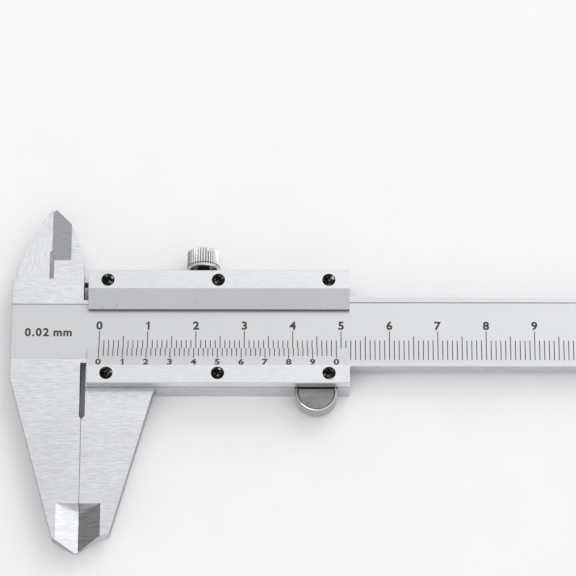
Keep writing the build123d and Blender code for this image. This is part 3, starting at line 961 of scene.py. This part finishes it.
# %% The same screw at each place
def scatter_tree():
    """An object on each point, turned about Z by an angle that grows from point to point."""
    tree = bpy.data.node_groups.new("set_on_points", "GeometryNodeTree")
    tree.interface.new_socket("Geometry", in_out="INPUT", socket_type="NodeSocketGeometry")
    tree.interface.new_socket("Piece", in_out="INPUT", socket_type="NodeSocketObject")
    tree.interface.new_socket("Turn", in_out="INPUT", socket_type="NodeSocketFloat")
    tree.interface.new_socket("Material", in_out="INPUT", socket_type="NodeSocketMaterial")
    tree.interface.new_socket("Geometry", in_out="OUTPUT", socket_type="NodeSocketGeometry")
    new, link = tree.nodes.new, tree.links.new
    given = new("NodeGroupInput").outputs
    piece = new("GeometryNodeObjectInfo")
    link(given["Piece"], piece.inputs["Object"])
    turn = new("ShaderNodeMath")
    turn.operation = "MULTIPLY"
    link(new("GeometryNodeInputIndex").outputs[0], turn.inputs[0])
    link(given["Turn"], turn.inputs[1])
    angle = new("ShaderNodeCombineXYZ")
    link(turn.outputs[0], angle.inputs["Z"])
    spread = new("GeometryNodeInstanceOnPoints")
    link(given["Geometry"], spread.inputs["Points"])
    link(piece.outputs["Geometry"], spread.inputs["Instance"])
    link(angle.outputs[0], spread.inputs["Rotation"])
    real = new("GeometryNodeRealizeInstances")
    link(spread.outputs["Instances"], real.inputs["Geometry"])
    paint = new("GeometryNodeSetMaterial")
    link(real.outputs["Geometry"], paint.inputs["Geometry"])
    link(given["Material"], paint.inputs["Material"])
    link(paint.outputs["Geometry"], new("NodeGroupOutput").inputs["Geometry"])
    return tree


# %% Six screws on six points
SCREW_TURN = math.radians(37)
spots = bpy.data.meshes.new("strip_screws")
tops = []
for name in screw_nodes:
    low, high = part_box(name)
    tops.append(((low.x + high.x) / 2, (low.y + high.y) / 2, high.z))
spots.from_pydata(tops, [], [])
strip_screws = apply_tree(
    new_object("strip_screws", spots), scatter_tree(),
    {"Piece": screw, "Turn": SCREW_TURN, "Material": black_oxide},
)
bpy.data.objects.remove(screw)
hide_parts(*screw_nodes)
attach(strip_screws, "slider")
print("strip screws:", len(tops), "with", len(strip_screws.data.polygons), "faces")

# %% [markdown]
# ## Knurled pieces
# The lock screw and the thumb rest are turned discs with a knurled rim: straight ridges on the
# screw, and finer crossed ones on the rest. The knurl is a rule: at each height the radius is
# the smaller of the grooved rim and the cone of the chamfer, so the ridges run out into the
# chamfer as they do when a lathe cuts it.


# %% A turned disc with a knurled rim
def knurled(bm, levels, ridges, groove, slant=0.0, steps_per_ridge=6):
    """levels are (height, plain radius, knurled). slant turns straight grooves into crossed ones."""
    full = max(radius for _, radius, _ in levels)
    steps = ridges * steps_per_ridge
    rings = []
    for height, radius, cut in levels:
        ring = []
        for i in range(steps):
            angle = 2 * math.pi * i / steps
            waves = [0.5 - 0.5 * math.cos(angle * ridges + side * slant * height) for side in (1, -1)]
            rim = full - groove * max(waves) ** 1.5 if cut else radius
            reach = min(radius, rim)
            ring.append(bm.verts.new((reach * math.cos(angle), reach * math.sin(angle), height)))
        rings.append(ring)
    for low, high in zip(rings, rings[1:]):
        for i in range(steps):
            j = (i + 1) % steps
            bm.faces.new((low[i], low[j], high[j], high[i]))
    bm.faces.new(rings[0][::-1])
    bm.faces.new(rings[-1])


def chamfered_rim(radius, low, high, chamfer, steps=4, walls=1):
    """Levels of a rim with a chamfer at both ends and its wall cut into a number of rings."""
    levels = []
    for i in range(steps + 1):
        levels.append((low + chamfer * i / steps, radius - chamfer * (1 - i / steps), True))
    wall_low, wall_high = low + chamfer, high - chamfer
    for i in range(1, walls):
        levels.append((wall_low + (wall_high - wall_low) * i / walls, radius, True))
    for i in range(steps + 1):
        levels.append((high - chamfer * (1 - i / steps), radius - chamfer * i / steps, True))
    return levels


# %% [markdown]
# ## Lock screw
# The head is a plated disc with straight ridges, chamfered at both ends, hollow underneath and
# slotted across its top. The disc is built from rings of points, and the slot is cut by a
# Boolean. The valleys of the ridges, a line at the shoulder and the hollow carry painted shade, which makes
# the ridges read.

# %% Sizes of the lock screw
lock_low, lock_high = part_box("lock_screw")
lock_radius = (lock_high.x - lock_low.x) / 2
LOCK_HEAD = 4.1 * MM
LOCK_CHAMFER = 0.48 * MM
UNDERCUT_RADIUS = 2.75 * MM
UNDERCUT_DEPTH = 0.6 * MM
LOCK_SHANK = 1.25 * MM
DOG_RADIUS = 0.6 * MM
DOG_LENGTH = 0.4 * MM
lock_length = lock_high.y - lock_low.y
lock_axis_x = (lock_low.x + lock_high.x) / 2
lock_axis_z = (lock_low.z + lock_high.z) / 2
SLOT_DEPTH = 1.1 * MM
SLOT_WIDTH = 1.0 * MM
SLOT_TURN = math.radians(-68)
LOCK_RIDGES, LOCK_GROOVE = 38, 0.26 * MM
print("lock screw radius (mm):", round(lock_radius / MM, 2))


# %% Finish of the lock screw
def lock_finish():
    """Plated steel with painted shade in the knurl's valleys, along the shoulder line and in the hollow under
    the head.
    """
    finish = Finish("lock_screw_steel")
    x, y, z = finish.place()
    grain = finish.noise((3000.0, 3000.0, 3000.0), 3.0, 0.6)
    radius = finish.distance(
        finish.math("SUBTRACT", x, lock_axis_x), finish.math("SUBTRACT", z, lock_axis_z))
    outside = finish.above(radius, UNDERCUT_RADIUS + 0.05 * MM)
    # Painted shade in the knurl's valleys.
    valley = finish.product(outside, finish.inverse(finish.above(radius, lock_radius - 0.13 * MM, 0.06 * MM)))
    wall = finish.inverse(finish.above(finish.size(finish.facing(1)), 0.5, 0.2))
    hollow_end = lock_high.y - LOCK_HEAD + UNDERCUT_DEPTH + 0.1 * MM
    # Painted shade in the hollow under the head.
    under = finish.product(finish.inverse(outside), finish.inverse(finish.above(y, hollow_end)))
    shoulder = lock_high.y - LOCK_HEAD + LOCK_CHAMFER
    # Painted shade: a dark line at the shoulder of the knurl.
    line = finish.product(outside, finish.between(y, shoulder - 0.06 * MM, shoulder + 0.14 * MM))
    value = finish.remap(grain, 0.76, 0.86)
    value = finish.mix(finish.product(valley, wall, 0.4), value, 0.15)
    value = finish.mix(line, value, 0.15)
    value = finish.mix(under, value, 0.3)
    finish.grey(value, (1.0, 0.995, 0.985))
    finish.link(finish.remap(grain, 0.22, 0.15), finish.shader.inputs["Roughness"])
    finish.bump(grain, 0.002 * MM, 0.4)
    return finish.material


# %% Shape of the lock screw
def lock_screw_mesh(bm):
    """Knurled head at the top of Z, hollowed underneath, on its shank and dog point."""
    base = -LOCK_HEAD
    tail = -lock_length
    levels = [
        (tail, DOG_RADIUS, False), (tail + DOG_LENGTH, DOG_RADIUS, False),
        (tail + DOG_LENGTH, LOCK_SHANK, False), (base + UNDERCUT_DEPTH, LOCK_SHANK, False),
        (base + UNDERCUT_DEPTH, UNDERCUT_RADIUS - 0.1 * MM, False), (base, UNDERCUT_RADIUS, False),
    ]
    levels += chamfered_rim(lock_radius, base, 0.0, LOCK_CHAMFER)
    knurled(bm, levels, LOCK_RIDGES, LOCK_GROOVE)


def slot_block(bm):
    """A block across the top of the head, twice the slot's depth, centred on the top."""
    size = Matrix.Diagonal((3 * lock_radius, SLOT_WIDTH, 2 * SLOT_DEPTH, 1))
    bmesh.ops.create_cube(bm, size=1.0, matrix=size)


lock = new_object("lock_screw_knurled", mesh_from(lock_screw_mesh, "lock_screw_knurled"))
slot_cutter = new_object("slot_cutter", mesh_from(slot_block, "slot_cutter"))
cut = lock.modifiers.new("slot", "BOOLEAN")
cut.object = slot_cutter
cut.solver = "EXACT"
bake(lock)
bpy.data.objects.remove(slot_cutter)
smooth_by_angle(lock.data, 40)
top = Matrix.Translation((lock_axis_x, lock_high.y, lock_axis_z))
lock.data.transform(top @ Matrix.Rotation(math.radians(-90), 4, "X") @ Matrix.Rotation(SLOT_TURN, 4, "Z"))
lock.data.materials.append(lock_finish())
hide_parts("lock_screw")
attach(lock, "lock_screw")
print("lock screw:", len(lock.data.polygons), "faces")

# %% [markdown]
# ## Thumb rest
# A plated disc sits half inside the slider, under the vernier strip. Its rim has a fine
# crossed knurl for grip, with painted shade in its valleys, its lip is rounded and polished,
# and its face is a shallow polished dish, painted dark as a reflection of its surroundings.
# The corner of the dish carries painted shade, and a painted dark reflection lies on the left of the lip.

# %% Sizes of the thumb rest
thumb_thickness = thumb_high.z - thumb_low.z
THUMB_CHAMFER = 0.35 * MM
THUMB_DISH = 0.3 * MM
THUMB_LIP = 0.75 * MM
KNURL_RINGS = 30
KNURL_STEP = 0.42 * MM
THUMB_RIDGES, THUMB_GROOVE = 72, 0.12 * MM
THUMB_CENTRE = 0.4 * MM
print("thumb rest thickness (mm):", round(thumb_thickness / MM, 2))


# %% Finish of the thumb rest
def thumb_finish():
    """Plated steel: a bright rim, and a polished dish inside it painted dark as a reflection, with painted
    shade in the knurl's valleys and the dish's corner and a painted dark reflection on the left of the lip.
    """
    finish = Finish("thumb_rest_steel")
    x, y, _ = finish.place()
    grain = finish.noise((2500.0, 2500.0, 2500.0), 3.0, 0.6)
    stain = finish.noise((350.0, 350.0, 350.0), 2.0)
    from_x = finish.math("SUBTRACT", x, thumb_x)
    radius = finish.distance(from_x, finish.math("SUBTRACT", y, thumb_y))
    inner = thumb_radius - THUMB_LIP
    up = finish.facing(2)
    dish = finish.product(finish.above(up, 0.8, 0.1), finish.inverse(finish.above(radius, inner)))
    # Painted reflection: the polished dish is coloured dark.
    dish_painted_dark = finish.product(finish.remap(grain, 0.26, 0.31), finish.remap(stain, 0.85, 1.15))
    knurl = finish.inverse(finish.above(finish.size(up), 0.85, 0.1))
    # Painted shade in the knurl's valleys.
    depth = finish.remap(radius, 0.6, 0.0, thumb_radius - 0.10 * MM, thumb_radius - 0.02 * MM)
    valley = finish.product(knurl, depth, finish.above(radius, thumb_radius - 0.2 * MM))
    rim = finish.mix(valley, finish.remap(grain, 0.60, 0.68), 0.12)
    # Painted shade in the corner of the dish.
    dish_corner_shade = finish.between(radius, inner - 0.05 * MM, inner + 0.17 * MM)
    # Painted reflection: a dark crescent on the left of the lip.
    left = finish.above(finish.product(from_x, -1.0), 0.68 * thumb_radius, 0.3 * MM)
    left_lip_reflection = finish.product(left, finish.between(radius, inner, thumb_radius - 0.38 * MM))
    painted_shade_and_reflection = finish.product(finish.math("MAXIMUM", dish_corner_shade, left_lip_reflection), 0.85)
    finish.grey(finish.mix(painted_shade_and_reflection, finish.mix(dish, rim, dish_painted_dark), 0.04), (0.99, 1.0, 0.99))
    finish.link(finish.mix(dish, finish.remap(grain, 0.13, 0.09), 0.11), finish.shader.inputs["Roughness"])
    finish.bump(grain, 0.0015 * MM, 0.3)
    return finish.material


thumb_steel = thumb_finish()


# %% Shape of the thumb rest
def thumb_rest_mesh(bm):
    """Disc with a fine diamond knurl, a rounded lip in front and a flat dish inside it."""
    levels = chamfered_rim(thumb_radius, -thumb_thickness, 0.0, THUMB_CHAMFER, walls=KNURL_RINGS)
    crown = thumb_radius - THUMB_CHAMFER
    inner = thumb_radius - THUMB_LIP
    for i in range(1, 6):
        angle = i * math.pi / 10
        levels.append((-THUMB_DISH * (1 - math.cos(angle)), crown - (crown - inner) * math.sin(angle), False))
    levels.append((-THUMB_DISH, THUMB_CENTRE, False))
    slant = 2 * math.pi / KNURL_STEP
    knurled(bm, levels, THUMB_RIDGES, THUMB_GROOVE, slant=slant, steps_per_ridge=4)


thumb = new_object("thumb_rest_knurled", mesh_from(thumb_rest_mesh, "thumb_rest_knurled"))
right_screw_low, right_screw_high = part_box("vernier_strip_screw_right")
screw_x = (right_screw_low.x + right_screw_high.x) / 2 - thumb_x
screw_y = (right_screw_low.y + right_screw_high.y) / 2 - thumb_y
NOTCH_RADIUS = SHANK_RADIUS + 0.05 * MM


def notch_rod(bm):
    """A rod where the right strip screw passes through the disc."""
    place = Matrix.Translation((screw_x, screw_y, 0))
    bmesh.ops.create_cone(
        bm, cap_ends=True, segments=24, radius1=NOTCH_RADIUS, radius2=NOTCH_RADIUS,
        depth=3 * thumb_thickness, matrix=place)


notch = new_object("notch", mesh_from(notch_rod, "notch"))
cut = thumb.modifiers.new("notch", "BOOLEAN")
cut.object = notch
cut.solver = "EXACT"
bake(thumb)
bpy.data.objects.remove(notch)
smooth_by_angle(thumb.data, 30)
thumb.data.transform(Matrix.Translation((thumb_x, thumb_y, thumb_high.z)))
thumb.data.materials.append(thumb_steel)
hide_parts("thumb_rest")
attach(thumb, "slider")
print("thumb rest:", len(thumb.data.polygons), "faces")

# %% [markdown]
# ## Bench
# The caliper lies on a matt white bench. The bench glows a little, which stands for light that
# bounces around a white studio and keeps the shadows soft. An ambient occlusion node turns the
# glow off in narrow gaps, where no such light would reach.

# %% Bench
BENCH_HALF = 1.5
BENCH_GLOW = 0.17
WHITE = (0.985, 0.995, 1.0)
bench = new_object("bench", mesh_from(
    lambda bm: bmesh.ops.create_grid(bm, x_segments=1, y_segments=1, size=BENCH_HALF), "bench"))
bench_finish = Finish("bench_white", 0.0)
bench_grain = bench_finish.noise((60.0, 60.0, 60.0), 3.0)
bench_finish.grey(bench_finish.remap(bench_grain, 0.82, 0.84), WHITE)
bench_finish.shader.inputs["Roughness"].default_value = 0.6
bench_finish.shader.inputs["Specular IOR Level"].default_value = 0.2
bench_finish.shader.inputs["Emission Color"].default_value = (*WHITE, 1.0)
open_sky = bench_finish.node("ShaderNodeAmbientOcclusion", samples=8)
open_sky.inputs["Distance"].default_value = 12 * MM
glow = bench_finish.remap(open_sky.outputs["AO"], 0.0, BENCH_GLOW, 0.22, 0.50)
bench_finish.link(glow, bench_finish.shader.inputs["Emission Strength"])
bench.data.materials.append(bench_finish.material)

# %% [markdown]
# ## Sky
# Ground steel shows what stands around it, so the sky sets most of its tones. It is a bright,
# nearly even dome, a little stronger on the right, with one dark card at the upper left. The
# slope of the movable outside jaw mirrors that card, and the slope of the fixed jaw mirrors
# the bright side, which sets the two apart.

# %% Sky helpers
world = bpy.data.worlds.new("studio")
world.use_nodes = True
scene.world = world
sky = world.node_tree
background = sky.nodes["Background"]
direction = sky.nodes.new("ShaderNodeTexCoord").outputs["Generated"]
split = sky.nodes.new("ShaderNodeSeparateXYZ")
sky.links.new(direction, split.inputs[0])


def sky_ramp(value, stops):
    """A number that follows a value along straight runs between (value, level) stops."""
    first, last = stops[0][0], stops[-1][0]
    curve = sky.nodes.new("ShaderNodeFloatCurve")
    place = sky.nodes.new("ShaderNodeMapRange")
    place.inputs["From Min"].default_value = first
    place.inputs["From Max"].default_value = last
    sky.links.new(value, place.inputs["Value"])
    sky.links.new(place.outputs["Result"], curve.inputs["Value"])
    points = curve.mapping.curves[0].points
    while len(points) < len(stops):
        points.new(0.5, 0.5)
    for point, (at, level) in zip(points, stops):
        point.location = ((at - first) / (last - first), level / SKY_TOP)
    curve.mapping.update()
    return curve.outputs[0]


def sky_product(a, b):
    made = sky.nodes.new("ShaderNodeMath")
    made.operation = "MULTIPLY"
    for socket, value in zip(made.inputs, (a, b)):
        if isinstance(value, (int, float)):
            socket.default_value = value
        else:
            sky.links.new(value, socket)
    return made.outputs[0]


# %% Levels of the sky
SKY_TOP = 1.3
SKY_LEVEL = 0.78
DARK_SIDE = Vector((-0.75, 0.35, 0.56)).normalized()
towards_dark = sky.nodes.new("ShaderNodeVectorMath")
towards_dark.operation = "DOT_PRODUCT"
towards_dark.inputs[1].default_value = DARK_SIDE
sky.links.new(direction, towards_dark.inputs[0])
across = sky_ramp(split.outputs["X"], ((-1.0, 0.92), (-0.2, 0.93), (0.1, 1.08), (0.6, 1.18), (1.0, 1.2)))
away = sky_ramp(split.outputs["Y"], ((-1.0, 0.95), (0.2, 0.96), (0.45, 1.06), (1.0, 1.0)))
card = sky_ramp(
    towards_dark.outputs["Value"], ((-1.0, 1.0), (0.82, 1.0), (0.93, 0.50), (0.98, 0.22), (1.0, 0.2)))
level = sky_product(sky_product(across, away), sky_product(card, SKY_TOP**3 * SKY_LEVEL))
sky.links.new(level, background.inputs["Strength"])
background.inputs["Color"].default_value = (*COOL, 1.0)
print("direction of the dark card:", [round(part, 2) for part in DARK_SIDE])

# %% [markdown]
# ## Key light and camera
# One square soft light stands behind and to the right, and gives gentle shadows towards the
# viewer and the left. The camera stands back with a long lens, so the scale stays almost
# parallel, and tilts about a quarter of the way from straight down, which shows the sides.


# %% Soft key light
def soft_light(name, location, target, size, power):
    """A square area light that looks at a point."""
    data = bpy.data.lights.new(name, "AREA")
    data.size = size
    data.energy = power
    light = bpy.data.objects.new(name, data)
    scene.collection.objects.link(light)
    light.location = location
    light.rotation_euler = (Vector(target) - Vector(location)).to_track_quat("-Z", "Y").to_euler()
    return light


centre = ((beam_low.x + beam_high.x) / 4, beam_width / 2, 0.0)
KEY_SIZE = 0.6
KEY_POWER = 1.7
key = soft_light("key", (centre[0] + 0.33, 0.65, 0.61), centre, KEY_SIZE, KEY_POWER)
print("key light distance (m):", round((key.location - Vector(centre)).length, 2))

# %% Camera
CAMERA_PLACE = (44.83 * MM, -277.4 * MM, 706.1 * MM)
TILT = math.radians(22.82)
SWING = math.radians(0.48)
ROLL = math.radians(-0.38)
camera_data = bpy.data.cameras.new("camera")
camera_data.sensor_width = 36.0
camera_data.lens = 228.6
camera = bpy.data.objects.new("camera", camera_data)
scene.collection.objects.link(camera)
turn = Matrix.Rotation(SWING, 4, "Z") @ Matrix.Rotation(TILT, 4, "X") @ Matrix.Rotation(ROLL, 4, "Z")
camera.matrix_world = Matrix.Translation(CAMERA_PLACE) @ turn
scene.camera = camera
scene.view_settings.view_transform = "Standard"
print("camera distance (m):", round((camera.matrix_world.translation - Vector(centre)).length, 2))
